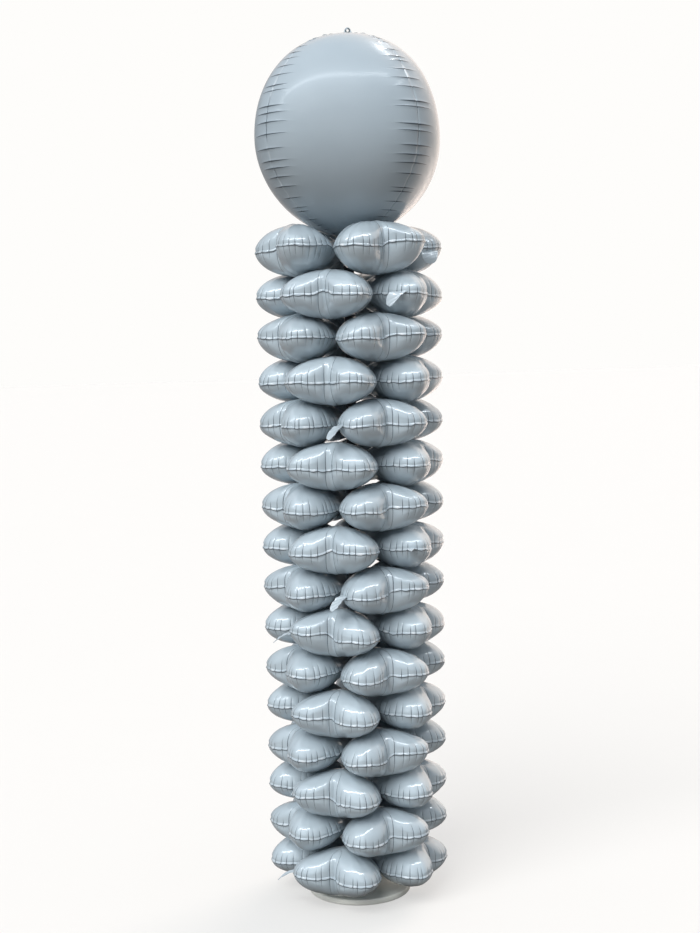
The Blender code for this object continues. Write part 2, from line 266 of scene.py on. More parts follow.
# name: shape, heading from the axis, distance, height, size, watts, colour, height it points at (or None
# where it faces straight down), heading of its long side when it faces down, and whether it shows in
# reflections only
lampTable = {
    "stripLeft": ("RECTANGLE", -176.9, 2.67, 4.2, (4.64, 0.24), 42, "#f4faff", None, -35.1, True),
    "stripRight": ("RECTANGLE", -67.0, 1.62, 4.2, (2.80, 0.22), 23, "#f4faff", None, -0.8, True),
    "backSpot": ("ELLIPSE", 27.4, 1.12, 3.55, (0.17, 0.17), 5.5, "#ffffff", 1.77, 0, True),
    "lowFill": ("RECTANGLE", -117.5, 2.4, 0.3, (1.6, 0.4), 2.6, "#ffffff", 0.0, 0, False),
}


def makeLamp(name, shape, heading, distance, height, size, watts, colour, aim, longSide, reflected):
    data = bpy.data.lights.new(name, "AREA")
    data.shape = shape
    data.size, data.size_y = size
    data.energy = watts
    data.color = toLinear(colour)[:3]
    lamp = bpy.data.objects.new(name, data)
    lamp.location = distance * towards(heading) + np.array([0, 0, height])
    if aim is None:
        lamp.rotation_euler = (0, 0, math.radians(longSide))
    else:
        lamp.rotation_euler = (Vector((0, 0, aim)) - lamp.location).to_track_quat("-Z", "Y").to_euler()
    lamp.visible_camera = False
    lamp.visible_diffuse = not reflected
    lamp.visible_glossy = reflected
    bpy.context.scene.collection.objects.link(lamp)


def makeSun(name, strength, colour, across, heading, height):
    data = bpy.data.lights.new(name, "SUN")
    data.energy = strength
    data.color = toLinear(colour)[:3]
    data.angle = math.radians(across)
    sun = bpy.data.objects.new(name, data)
    sun.visible_glossy = False  # it shapes the forms without a bright patch in the film
    turn = Matrix.Rotation(math.radians(heading + 90), 4, "Z")
    sun.matrix_world = turn @ Matrix.Rotation(math.radians(90 - height), 4, "X")
    bpy.context.scene.collection.objects.link(sun)


def addWallShare(tree, direction, height):
    # How much of a direction looks at the pale wall, whose middle lies at this height over the horizon
    heading, height = math.radians(studio["wallHeading"]), math.radians(height)
    middle = (math.cos(height) * math.cos(heading), math.cos(height) * math.sin(heading), math.sin(height))
    near = addNode(tree, "VectorMath", {"operation": "DOT_PRODUCT", 1: middle}, {0: direction})
    end, even = (math.cos(math.radians(angle)) for angle in studio["wallReach"])
    share = addNode(tree, "MapRange", {"interpolation_type": "SMOOTHSTEP", "From Min": end, "From Max": even},
                    {"Value": near["Value"]})
    return share["Result"]


def makeFloor():
    # Pale painted floor. What the object and its reflections meet is darker than what the camera sees, as in
    # a studio whose floor is lit for itself
    half = studio["floorSize"] / 2
    corners = [(-half, -half, 0), (half, -half, 0), (half, half, 0), (-half, half, 0)]
    mesh = bpy.data.meshes.new("studioFloor")
    mesh.from_pydata(corners, [], [(0, 1, 2, 3)])
    material, tree, shader, place = startMaterial(
        "matteFloorPaint", {"Roughness": 0.9, "Specular IOR Level": 0.05})
    rays = addNode(tree, "LightPath")
    away = addNode(tree, "VectorMath", {"operation": "LENGTH"}, {0: place})
    beyond, distant = (
        addNode(tree, "MapRange", {"From Min": near, "From Max": far}, {"Value": away["Value"]})
        for near, far in (studio["bounceReach"], studio["paleReach"]))
    grain = addNode(tree, "TexNoise", {"Scale": 3.0, "Detail": 4.0}, {"Vector": place})
    colour = toLinear(studio["floorColour"])
    shade = tuple(part * studio["floorGrain"] for part in colour[:3]) + (1.0,)
    paint = addNode(tree, "Mix", {6: colour, 7: shade}, {0: grain["Fac"]})
    nearBounce, farBounce = (toLinear(bounce) for bounce in studio["bounce"])
    bounce = addNode(tree, "Mix", {6: nearBounce, 7: farBounce}, {0: beyond["Result"]})
    seen = addNode(tree, "Mix", {}, {0: rays["Is Diffuse Ray"], 6: paint[2], 7: bounce[2]})
    sideways = addNode(tree, "VectorMath", {"operation": "NORMALIZE"}, {0: place})
    pale = addNode(tree, "Math", {"operation": "MULTIPLY"},
                   {0: addWallShare(tree, sideways["Vector"], 0), 1: distant["Result"]})
    floorMirrored, wallGlow = toLinear(studio["floorMirrored"]), toLinear(studio["wallGlow"])
    mirrored = addNode(tree, "Mix", {6: floorMirrored, 7: wallGlow}, {0: pale[0]})
    looks = addNode(tree, "Mix", {}, {0: rays["Is Glossy Ray"], 6: seen[2], 7: mirrored[2]})
    tree.links.new(looks[2], shader.inputs["Base Color"])
    glow, strength = studio["floorGlow"]
    shader.inputs["Emission Color"].default_value = toLinear(glow)
    even = addNode(tree, "Math", {"operation": "MULTIPLY", 1: strength}, {0: rays["Is Camera Ray"]})
    tree.links.new(even[0], shader.inputs["Emission Strength"])
    mesh.materials.append(material)
    floor = bpy.data.objects.new("studioFloor", mesh)
    bpy.context.scene.collection.objects.link(floor)


def makeSurroundings():
    # A plain backdrop for the camera, a soft sky as the light, and for reflections that sky with a paler haze
    # along its horizon and the pale wall
    world = bpy.data.worlds.new("studioWorld")
    world.use_nodes = True
    tree = world.node_tree
    background = tree.nodes["Background"]
    rays = addNode(tree, "LightPath")
    direction = addNode(tree, "TexCoord")["Generated"]
    up = addNode(tree, "SeparateXYZ", {}, {"Vector": direction})["Z"]
    horizon, zenith = toLinear(studio["horizon"]), toLinear(studio["zenith"])
    sky = addNode(tree, "Mix", {6: horizon, 7: zenith}, {0: up})
    haze = addNode(tree, "MapRange",
                   {"interpolation_type": "SMOOTHSTEP", "From Min": studio["hazeTop"], "From Max": 0.0},
                   {"Value": up})
    mirrored = addNode(tree, "Mix", {7: toLinear(studio["horizonMirrored"])}, {0: haze["Result"], 6: sky[2]})
    pale = addWallShare(tree, direction, studio["wallHeight"])
    wall = addNode(tree, "Mix", {7: toLinear(studio["wallGlow"])}, {0: pale, 6: mirrored[2]})
    glossy = addNode(tree, "Math", {"operation": "MULTIPLY"}, {0: pale, 1: rays["Is Glossy Ray"]})
    power = addNode(tree, "Math", {"operation": "MULTIPLY_ADD", 1: studio["wallPower"] - 1, 2: 1.0},
                    {0: glossy[0]})
    tree.links.new(power[0], background.inputs["Strength"])
    lit = addNode(tree, "Mix", {}, {0: rays["Is Glossy Ray"], 6: sky[2], 7: wall[2]})
    shown = addNode(tree, "Mix", {7: toLinear(studio["backdrop"])}, {0: rays["Is Camera Ray"], 6: lit[2]})
    tree.links.new(shown[2], background.inputs["Color"])
    bpy.context.scene.world = world
    bpy.context.scene.view_settings.view_transform = "Standard"


# Foil film: metallised nylon with a satin pastel ink

foilFilm = {
    "ink": ("#b7c5cd", "#abb9c2"),        # the lobed balloons', with its slightly darker clouds
    "roundInk": ("#a6b2ba", "#9ca9b2"),   # the round balloon's, a tone darker
    # how metallic the ink looks, then the clear skin's refraction, which sets its shine, and its roughness
    "skin": (0.12, 1.85, 0.06),
    "roundSkin": (0.06, 1.22, 0.12),
    "inkRough": (0.30, 0.40),
    "clouds": 9.0,          # soft clouds of the ink to a metre
    # the pale colour: on the lobes' welded edges the paler heat-sealed film with a painted highlight, along
    # the round balloon's seams a painted highlight, and on the tails and the tab their paler film
    "paleFilmAndHighlight": "#e6ecf0",
    # the dark colour: painted shade along the creases and painted shadow under the welded edges
    "creaseShadeColour": "#3c464f",
    "lineEdge": 0.35,       # how soft a crease's two edges are, as a share of its half width
    "lineDark": 0.9,
    "dent": 26,             # mm across one soft dent
    "dentBump": (0.06, 0.004),    # strength and height
    "grain": 1.5,           # mm across the print's grain, which is really finer
    "grainBump": (0.05, 0.0003),
}


def makeFoilMaterial(name, ink, inkShade, metal, skinIor, skinRough):
    # Satin ink under a clear skin: soft broad sheen from the ink, thin sharp reflections from the skin
    material, tree, shader, place = startMaterial(name, {
        "Metallic": metal, "Specular IOR Level": 0.25, "Coat Weight": 1.0, "Coat IOR": skinIor,
        "Coat Roughness": skinRough})
    dents = addNode(tree, "TexNoise", {"Scale": 1000 / foilFilm["dent"], "Detail": 1.5}, {"Vector": place})
    grain = addNode(tree, "TexNoise", {"Scale": 1000 / foilFilm["grain"], "Detail": 2.0, "Roughness": 0.6},
                    {"Vector": place})
    clouds = addNode(tree, "TexNoise", {"Scale": foilFilm["clouds"], "Detail": 2.0}, {"Vector": place})
    # The crease mark paints shade along creases and a shadow under the welded edges; the weld mark paints
    # highlight on welded edges and seams
    crease = addNode(tree, "Attribute", {"attribute_name": "crease"})
    weld = addNode(tree, "Attribute", {"attribute_name": "weld"})
    inked = addNode(tree, "Mix", {6: toLinear(ink), 7: toLinear(inkShade)}, {0: clouds["Fac"]})
    # painted highlight on welded edges and seams, and the paler film of edges, tails and tab
    paleAndHighlit = addNode(tree, "Mix", {7: toLinear(foilFilm["paleFilmAndHighlight"])}, {0: weld["Fac"], 6: inked[2]})
    line = addNode(tree, "MapRange", {"From Max": foilFilm["lineEdge"], "To Max": foilFilm["lineDark"]},
                   {"Value": crease["Fac"]})
    creaseShaded = addNode(tree, "Mix", {7: toLinear(foilFilm["creaseShadeColour"])}, {0: line["Result"], 6: paleAndHighlit[2]})
    tree.links.new(creaseShaded[2], shader.inputs["Base Color"])
    smoothest, roughest = foilFilm["inkRough"]
    gloss = addNode(tree, "MapRange", {"To Min": smoothest, "To Max": roughest}, {"Value": clouds["Fac"]})
    tree.links.new(gloss["Result"], shader.inputs["Roughness"])
    (strength, height), (fineStrength, fineHeight) = foilFilm["dentBump"], foilFilm["grainBump"]
    soft = addNode(tree, "Bump", {"Strength": strength, "Distance": height}, {"Height": dents["Fac"]})
    fine = addNode(tree, "Bump", {"Strength": fineStrength, "Distance": fineHeight},
                   {"Height": grain["Fac"], "Normal": soft["Normal"]})
    tree.links.new(fine["Normal"], shader.inputs["Normal"])
    return material


# Four-lobed balloons

lobedBalloon = {
    "layers": 16,
    "pitch": 0.0875,
    "firstSeam": 0.077,
    "reach": 0.2005,
    # a heart-shaped lobe, from the cleft to the notch: (degrees from its own axis, share of the reach)
    "outline": ((0, 0.815), (6, 0.89), (12, 0.955), (18, 0.988), (24, 0.995), (30, 0.945), (35, 0.85),
                (41, 0.65), (45, 0.45)),
    "crown": 0.105,
    "halfHeight": 0.050,
    "cleftFill": 0.6,          # how much of the cleft the film fills beyond its weld
    "topRise": 0.008,          # how much higher the topmost balloon's upper sheet and weld lie
    "topRiseFrom": (0.085, 0.045),   # distance from the axis where that sheet starts to rise, and over which
    "hubHole": 0.0113,
    "film": 0.0005,
    "nestGap": 0.001,          # left between a balloon and the next
    # the grid: shares of the gap between two pleats, then degrees from the crown out to the weld
    "columnShares": (0, 0.075, 0.24, 0.5, 0.76, 0.925),
    "rowTurns": (8, 16, 25, 34, 42, 50, 57, 64, 70, 76, 81, 85.5, 90),
    "bow": 0.6,                # how squarely the pleats leave the weld
    "pleatSpacing": 0.0160,
    "pleatSpread": 0.27,       # how far each strays from its even place, as a share of the spacing
    "pleatDepth": (0.0007, 0.0019),
    "pleatLength": (0.014, 0.030),
    "firstPleat": (0.007, 0.011),    # how far the two long ones lie from the cleft
    "firstDepth": (0.0010, 0.0016),
    "firstLength": (0.045, 0.085),
    "lastPleat": 0.006,        # how near the notch the last one's even place may be
    "pleatPull": 0.6,          # how far a pleat draws the weld in, as a share of its depth
    "lineWidth": (0.0011, 0.0008),   # half the width of a crease's painted shade line at the weld, above it and below it
    "grooveDepth": 0.0008,
    "grooveWidth": 0.0008,
    "shoulder": (0.0012, 0.03),      # how far the film swells beside the weld, and how far from it
    "ripple": (0.0009, 0.05),        # height and length of the slow ripples above and below the weld
    "weldWave": (0.0012, 0.11),      # the same of the weld's own wave
    "weldJump": 0.0009,        # how far up or down a pleat may shift the weld
    "halfLift": 0.0042,        # how far each half of a lobe's weld is raised or lowered
    "halfBlend": 0.034,        # length of weld over which one half goes over to the other
    "cleftRise": (0.000, 0.006),
    "cleftWidth": 0.020,
    # the lifts of each balloon's front lobe, from the lowest balloon up: left half, cleft, right half, in mm
    "frontLifts": ((3, 2, -3), (-3, 2, 2), (7, 0, -4), (-3, 0, 9), (4, 0, -3), (-3, 3, 2), (9, 0, -4),
                   (-2, 0, 9), (-2, 8, 4), (0, 1, 6), (0, -2, 0), (0, 3, 0), (0, 2, 0), (-1, 0, 7),
                   (0, 10, 0), (-1, -2, 9)),
    "frontHeading": (-135, -90),     # of that lobe, for the lowest balloon and every second, then the others
    # the welded edge beyond the weld
    "edgeWidth": 0.0055,
    "edgeSpread": (0.15, 0.10),      # narrower at a pleat, and wandering, as shares of that
    "droop": (-78, 9),               # degrees, and how much they vary
    "edgePaleAndHighlight": (0.16, 0.5, 0.85),   # how pale it looks, the paler sealed film with a painted highlight; how much that wanders, and at most
    "edgeShadowLine": 0.0015,        # width of the painted shadow line along the film's edge, where it hangs over the sheet below
    # heading of the lobe that carries the tail, from the lowest balloon up
    "tailLobes": (-135, 90, -135, 90, 135, 90, -135, -90, -45, 90, 135, -90, 45, 90, -45, 0),
    "tailForms": "ptstptptuptttplr",
    "tailCup": 0.0016,         # how far a tail's sides curl up
    "tailCrumple": 0.0007,
    # degrees that each balloon is turned from its even place, from the lowest up
    "turned": (-3.0, -3.0, -1.8, -2.4, -1.4, -1.4, -0.6, 0, 0, 0, 0, 0, 0, 0, -2.0, -0.5),
}

# each form of filling tail: width, heading, heading of its root's line, where that lies, (length, slope) of
# its steps, and how blunt its tip is
tailForms = {
    "t": (0.024, -76, 14, -34.5, ((0.013, -14), (0.015, -34), (0.014, -44), (0.008, -48)), 7),
    "p": (0.020, -72, 18, -33.5, ((0.013, -8), (0.015, -24), (0.012, -34), (0.008, -38)), 2.5),
    "s": (0.016, -72, 18, -33.5, ((0.006, -8), (0.006, -28), (0.004, -36)), 2.5),
    "u": (0.018, -80, 10, -30.75, ((0.013, 14), (0.015, 10), (0.012, 2), (0.008, -6)), 2.5),
    "l": (0.034, -124, 28, -32, ((0.014, 4), (0.014, -26), (0.014, -50), (0.014, -58)), 1.8),
    "r": (0.034, -112, -22, -34, ((0.010, -20), (0.012, -62), (0.010, -84), (0.004, -88)), 4),
}


def smoothThrough(points, count):
    # A cubic curve through the points, its slopes taken from each point's two neighbours
    points = np.array(points, float)
    steps = np.concatenate([[0], np.cumsum(np.linalg.norm(np.diff(points, axis=0), axis=1))])
    slopes = np.gradient(points, steps, axis=0)
    where = np.linspace(0, steps[-1], count)
    part = np.clip(np.searchsorted(steps, where, side="right") - 1, 0, len(steps) - 2)
    span = (steps[part + 1] - steps[part])[:, None]
    t = (where - steps[part])[:, None] / span
    startWeight = 2 * t ** 3 - 3 * t ** 2 + 1
    leaveWeight = (t ** 3 - 2 * t ** 2 + t) * span
    arriveWeight = (t ** 3 - t ** 2) * span
    return (startWeight * points[part] + (1 - startWeight) * points[part + 1]
            + leaveWeight * slopes[part] + arriveWeight * slopes[part + 1])


def makeHalfOutline():
    # Half of a lobe's weld line: cleft, hump, shoulder, notch, then straight to the hub's hole and round it.
    # After it come the lengths along it, at each of its points, at the notch and at the hub
    shape = lobedBalloon
    polar = [(math.radians(a), share * shape["reach"] - shape["edgeWidth"]) for a, share in shape["outline"]]
    outer = smoothThrough([(r * math.cos(a), r * math.sin(a)) for a, r in polar], 400)
    radii = np.linspace(polar[-1][1], shape["hubHole"], 60)[1:]
    notch = np.stack([radii, radii], axis=1) * math.sqrt(0.5)
    turns = np.radians(np.linspace(45, 0, 12)[1:])
    hub = shape["hubHole"] * np.stack([np.cos(turns), np.sin(turns)], axis=1)
    line = np.concatenate([outer, notch, hub])
    length = np.concatenate([[0], np.cumsum(np.linalg.norm(np.diff(line, axis=0), axis=1))])
    return line, length, length[len(outer) - 1], length[len(outer) + len(notch) - 1]


def makeCleftFill():
    # How far the film reaches past its weld, over a table of directions from the crown: a share of the way
    # out to a straight front across both humps, smoothed
    direction = np.linspace(-1.2, 1.2, 481)
    weldThere = np.interp(np.abs(direction), outlineDirection, outlineDistance)
    fill = np.maximum(outlineFromCrown[:, 0].max() / np.cos(direction) - weldThere, 0)
    window = np.hanning(71) / np.hanning(71).sum()
    smooth = np.convolve(np.where(np.abs(direction) < 0.8, fill, 0), window, "same")
    return direction, lobedBalloon["cleftFill"] * smooth


outlinePoints, outlineLength, notchLength, hubLength = makeHalfOutline()
crownSpot = np.array([lobedBalloon["crown"], 0.0])
outlineFromCrown = outlinePoints - crownSpot
outlineDirection = np.arctan2(outlineFromCrown[:, 1], outlineFromCrown[:, 0])
outlineDistance = np.linalg.norm(outlineFromCrown, axis=1)
fillDirection, cleftFill = makeCleftFill()


def outlineAt(length):  # the weld line's point at a signed length from the cleft
    x = np.interp(np.abs(length), outlineLength, outlinePoints[:, 0])
    y = np.interp(np.abs(length), outlineLength, outlinePoints[:, 1])
    return np.stack([x, np.sign(length) * y], axis=-1)


def freeHeight(flat):
    # Height of an inflated lobe at points (x, y), its axis on X: (1 - share^2)^lean, where share is the way
    # from the crown to the film's reach and lean grows from 0.52 at the cleft to 0.97 at the hub. Where the
    # film reaches past its weld it drops to it by (1 - weldShare^8)^(0.5 * filled) and is 9% * filled fuller,
    # with filled rising to 1 where it reaches a third further
    away = flat - crownSpot
    distance = np.linalg.norm(away, axis=-1)
    direction = np.abs(np.arctan2(away[..., 1], away[..., 0]))
    toWeld = np.interp(direction, outlineDirection, outlineDistance)
    toReach = toWeld + np.interp(direction, fillDirection, cleftFill)
    filled = np.clip((toReach / toWeld - 1) / 0.33, 0, 1)
    lean = 0.52 + 0.45 * ((1 - np.cos(direction)) / 2) ** 3
    height = np.maximum(1 - (distance / toReach) ** 2, 0) ** lean
    height *= np.maximum(1 - (distance / toWeld) ** 8, 0) ** (0.5 * filled)
    height *= 1 + 0.09 * filled * np.clip(distance / 0.025, 0, 1)
    return lobedBalloon["halfHeight"] * np.where(distance < toWeld, height, 0)


def neighbourHeight(flat):  # height of the next balloon, turned by half a lobe, over the same place
    radius = np.linalg.norm(flat, axis=-1)
    angle = math.radians(45) - np.abs(np.arctan2(flat[..., 1], flat[..., 0]))
    return freeHeight(np.stack([radius * np.cos(angle), radius * np.sin(angle)], axis=-1))


def pleatTable(rng):
    # Pleats across the weld: place along it, depth, and length on the upper and the lower sheet. Two long
    # ones run side by side from the cleft
    shape = lobedBalloon
    places, depths, lengths = [], [], []
    for side in (-1, 1):
        start = rng.uniform(*shape["firstPleat"])
        count = int((notchLength - start - shape["lastPleat"]) / shape["pleatSpacing"])
        steps = start + np.arange(count + 1) * shape["pleatSpacing"]
        steps[1:] += rng.uniform(-shape["pleatSpread"], shape["pleatSpread"], count) * shape["pleatSpacing"]
        places.append(side * steps)
        depths.append(np.append(rng.uniform(*shape["firstDepth"]), rng.uniform(*shape["pleatDepth"], count)))
        short = rng.uniform(*shape["pleatLength"], (2, count)) * rng.uniform(0.8, 1.2, count)
        lengths.append(np.concatenate([rng.uniform(*shape["firstLength"], (2, 1)), short], axis=1))
    places = np.concatenate(places)
    order = np.argsort(places)
    return places[order], np.concatenate(depths)[order], np.concatenate(lengths, axis=1)[:, order]


def makeSeam(rng, openTop, lifts):
    # What the weld fixes for each column of a lobe's grid. Columns are signed lengths from the cleft: close
    # together at the pleats, then along the notches and round the hub's hole, which lie off the rim. The
    # weld's height jumps at the pleats, waves, and is lifted by its two halves and at the cleft
    shape = lobedBalloon
    places, depths, lengths = pleatTable(rng)
    edges = np.concatenate([[-notchLength], places, [notchLength]])
    outer = betweenPleats(edges, shape["columnShares"])
    towardsHub = np.linspace(notchLength, hubLength, 9)
    inner = np.concatenate([towardsHub, np.linspace(hubLength, outlineLength[-1], 4)[1:]])
    columns = np.concatenate([-inner[::-1][1:-1], outer, inner])
    onRim = np.clip((notchLength - np.abs(columns)) / 0.02, 0, 1)
    tangent = outlineAt(columns + 0.012) - outlineAt(columns - 0.012)
    outward = np.stack([tangent[:, 1], -tangent[:, 0]], axis=-1)
    outward /= np.maximum(np.linalg.norm(outward, axis=1, keepdims=True), 1e-9)
    signed, cusp = pleatCusps(columns, edges)

    jumps = np.concatenate([[0], rng.uniform(-1, 1, len(places)) * shape["weldJump"], [0]])
    height, wavelength = shape["weldWave"]
    rise = np.interp(columns, edges, jumps) + wander(rng, columns, wavelength) * height
    half = np.clip(columns / shape["halfBlend"] + 0.5, 0, 1)
    rise += lifts[0] + (lifts[2] - lifts[0]) * half ** 2 * (3 - 2 * half)
    rise += lifts[1] * np.exp(-(columns / shape["cleftWidth"]) ** 2) + (shape["topRise"] if openTop else 0)
    rise *= onRim
    return {"columns": columns, "onRim": onRim, "weld": outlineAt(columns), "outward": outward, "rise": rise,
            "signed": signed, "cusp": cusp, "depths": depths, "lengths": lengths}


def makeFlatGrid(seam, share):
    # The grid seen from above: its lines leave the weld squarely and bend to the crown, a quadratic curve
    weld, outward = seam["weld"], seam["outward"]
    edge = np.linalg.norm(weld - crownSpot, axis=1)
    middle = (weld + crownSpot) / 2
    square = weld - outward * (edge / 2)[:, None]
    control = middle + (square - middle) * (lobedBalloon["bow"] * seam["onRim"])[:, None]
    t = share[..., None]
    return t ** 2 * weld + 2 * t * (1 - t) * control + (1 - t) ** 2 * crownSpot


def makeLobeSheet(rng, seam, flat, share, number, isOpen):
    # The upper (0) or lower (1) sheet and the painted shade along its creases. Its height is the inflated
    # lobe's, less what the next balloon takes, and it dips at each pleat, with a thin groove on the pleat
    # itself
    shape = lobedBalloon
    side = 1 - 2 * number
    weld, rise, depths, cusp, signed = (seam[key] for key in ("weld", "rise", "depths", "cusp", "signed"))
    free = freeHeight(flat)
    free[-1] = 0
    height = free.copy()
    if isOpen and side == 1:
        start, over = shape["topRiseFrom"]
        outer = np.clip((np.linalg.norm(flat, axis=-1) - start) / over, 0, 1)
        height += shape["topRise"] * outer * np.clip(free / 0.02, 0, 1) * (1 - share ** 6)
    if not isOpen:
        crowd = free + neighbourHeight(flat) - (shape["pitch"] - shape["nestGap"])
        height -= np.maximum(crowd, 0) / 2
    base = np.concatenate([flat, (side * height + rise * share ** 6)[..., None]], axis=-1)
    normals = -side * gridNormals(base, closed=True)
    fromWeld = np.hypot(np.linalg.norm(flat - weld, axis=-1), height)[..., None]
    fade = np.clip(1 - fromWeld / seam["lengths"][number], 0, 1)
    groove = np.exp(-np.abs(signed) / shape["grooveWidth"])
    push = -(depths * cusp * fade + shape["grooveDepth"] * groove * fade ** 0.5).sum(axis=-1)
    swell, reach = shape["shoulder"]
    push += swell * np.clip(1 - fromWeld[..., 0] / reach, 0, 1)
    ripple, wavelength = shape["ripple"]
    push += wander(rng, seam["columns"], wavelength)[None] * ripple * share ** 2 * (1 - share ** 4)
    push *= seam["onRim"]
    base += push[..., None] * normals
    pull = (depths * cusp).sum(axis=1) * seam["onRim"] * shape["pleatPull"]
    base[-1] = np.concatenate([weld - seam["outward"] * pull[:, None], rise[:, None]], axis=1)
    # painted shade along each pleat's crease, fading with the pleat
    line = (fade ** 0.6 - np.abs(signed) / shape["lineWidth"][number]).max(axis=-1)
    return base, np.clip(line, -4, 1)


def makeWeldedEdge(rng, seam, root):
    # The welded edge beyond the weld: a thin fin that droops, narrower at the notches and where it is pleated
    shape = lobedBalloon
    rim = np.abs(seam["columns"]) < notchLength - 0.001
    line, outward, pleated = seam["columns"][rim], seam["outward"][rim], seam["cusp"][rim].max(axis=1)
    narrower, wandering = shape["edgeSpread"]
    width = shape["edgeWidth"] * np.clip((notchLength - np.abs(line)) / 0.02, 0.25, 1)
    width *= (1 - narrower * pleated) * (1 + wandering * wander(rng, line, 0.03))
    droop = np.radians(shape["droop"][0] + shape["droop"][1] * wander(rng, line, 0.06))
    grid = []
    steps = np.array([-0.25, 0.0, 0.25, 0.5, 0.75, 1.0])
    for step in steps:
        tip = droop * (0.6 + 0.4 * max(step, 0))
        out = (step * width * np.cos(tip))[:, None] * outward
        fall = max(step, 0) * width * np.sin(tip) + shape["film"] / 2
        grid.append(root[rim] + np.concatenate([out, fall[:, None]], axis=1))
    grid = np.stack(grid, axis=1)[:, ::-1]
    # The pale mark is the paler heat-sealed film with a painted highlight, left off at the pleats
    pale, paler, palest = shape["edgePaleAndHighlight"]
    paleAndHighlight = (pale + paler * wander(rng, line, 0.05)) * (1 - pleated)
    paleAndHighlight = np.clip(paleAndHighlight, 0, palest)[:, None] * (steps > -0.1)[::-1]
    # Painted shade: dark ticks where pleats cross the edge, and a painted shadow line along its drooping end
    ticks = (0.9 - np.abs(seam["signed"][rim]) / shape["lineWidth"][0]).max(axis=1)[:, None]
    fromEdge = (1 - steps[::-1]) * width[:, None]
    shade = np.clip(np.maximum(ticks, (shape["edgeShadowLine"] - fromEdge) / 0.001), -4, 2)
    return thinSheet(grid, shape["film"], {"weld": paleAndHighlight, "crease": shade})


def lobeParts(rng, openTop, openBottom, lifts):
    # One heart-shaped pillow, whose two sheets meet at the weld and close at the crown, and its welded edge
    seam = makeSeam(rng, openTop, lifts)
    turns = np.radians(np.array(lobedBalloon["rowTurns"]))
    share = np.sin(turns)[:, None]
    flat = makeFlatGrid(seam, share)
    upper, upperLines = makeLobeSheet(rng, seam, flat, share, 0, openTop)
    lower, lowerLines = makeLobeSheet(rng, seam, flat, share, 1, openBottom)
    rows = np.concatenate([upper, lower[-2::-1]])
    creaseShades = np.concatenate([upperLines, lowerLines[-2::-1]])
    count = len(seam["columns"])
    faces = gridFaces(len(rows), count, closed=True).tolist()
    top, bottom = len(rows) * count, len(rows) * count + 1
    ring = np.arange(count)
    last = ring + (len(rows) - 1) * count
    faces += np.stack([np.full(count, top), ring, np.roll(ring, -1)], axis=-1).tolist()
    faces += np.stack([last, np.full(count, bottom), np.roll(last, -1)], axis=-1).tolist()
    crown = lobedBalloon["crown"]
    poles = np.array([[crown, 0, rows[0, :, 2].max()], [crown, 0, rows[-1, :, 2].min()]])
    pillow = {"points": np.concatenate([rows.reshape(-1, 3), poles]), "faces": faces}
    pillow["marks"] = {"crease": np.concatenate([creaseShades.ravel(), [-4, -4]])}
    return [pillow, makeWeldedEdge(rng, seam, rows[len(turns) - 1])]


def tailPart(rng, form):
    # The flat filling tail: steps of given slopes, its half width following sqrt(1 - u^blunt) to the tip
    shape = lobedBalloon
    width, pointing, rootLine, place, steps, blunt = tailForms[form]
    lengths = np.array([length for length, _ in steps])
    slopes = np.radians([slope for _, slope in steps])
    angles, shares = zip(*shape["outline"])
    start = np.interp(abs(math.radians(place)), np.radians(angles), shares)
    start = start * shape["reach"] - shape["edgeWidth"]
    ahead = np.concatenate([[0], np.cumsum(lengths * np.cos(slopes))])
    drop = np.concatenate([[0], np.cumsum(lengths * np.sin(slopes))])
    curve = smoothThrough(np.stack([ahead, drop], axis=1), 30)
    forward, across = towards(pointing), towards(rootLine)
    root = start * towards(place) - 0.004 * forward
    u = np.linspace(0, 1, len(curve))
    v = np.linspace(-1, 1, 13)
    half = width / 2 * np.sqrt(np.maximum(1 - u ** blunt, 0.003))
    cup = shape["tailCup"] * (v ** 2)[None] * np.sin(u * math.pi)[:, None]
    crumple = shape["tailCrumple"] * wander(rng, u[:, None] * 0.06 + v[None] * 0.012, 0.02)
    grid = root + curve[:, None, :1] * forward + (half[:, None] * v)[..., None] * across
    grid = grid + (curve[:, 1:2] + cup + crumple)[..., None] * np.array([0, 0, 1.0])
    return thinSheet(grid, shape["film"], {"weld": np.full(grid.shape[:2], 0.12)})


def makeLobedBalloons(material):
    shape = lobedBalloon
    for layer in range(shape["layers"]):
        rng = np.random.default_rng(500 + layer)
        parts = []
        for lobe in range(4):
            lifts = rng.uniform(-1, 1, 3) * shape["halfLift"]
            lifts[1] = rng.uniform(*shape["cleftRise"])
            if (shape["tailLobes"][layer] + 90 * lobe - shape["frontHeading"][layer % 2]) % 360 == 0:
                lifts = np.array(shape["frontLifts"][layer]) / 1000
            made = lobeParts(rng, layer == shape["layers"] - 1, layer == 0, lifts)
            for part in made:
                part["points"] = turned(part["points"], 90 * lobe)
            parts += made
        parts.append(tailPart(rng, shape["tailForms"][layer]))
        lift = shape["firstSeam"] + layer * shape["pitch"]
        heading = shape["tailLobes"][layer] + shape["turned"][layer]
        for part in parts:
            part["points"] = turned(part["points"], heading) + np.array([0, 0, lift])
        node = f"lobed_balloon_{layer + 1:02d}"
        makePiece(f"lobedFoil{layer + 1:02d}", parts, material, "column", [node], 50)
    print("lobed balloons made")


# Round balloon on top

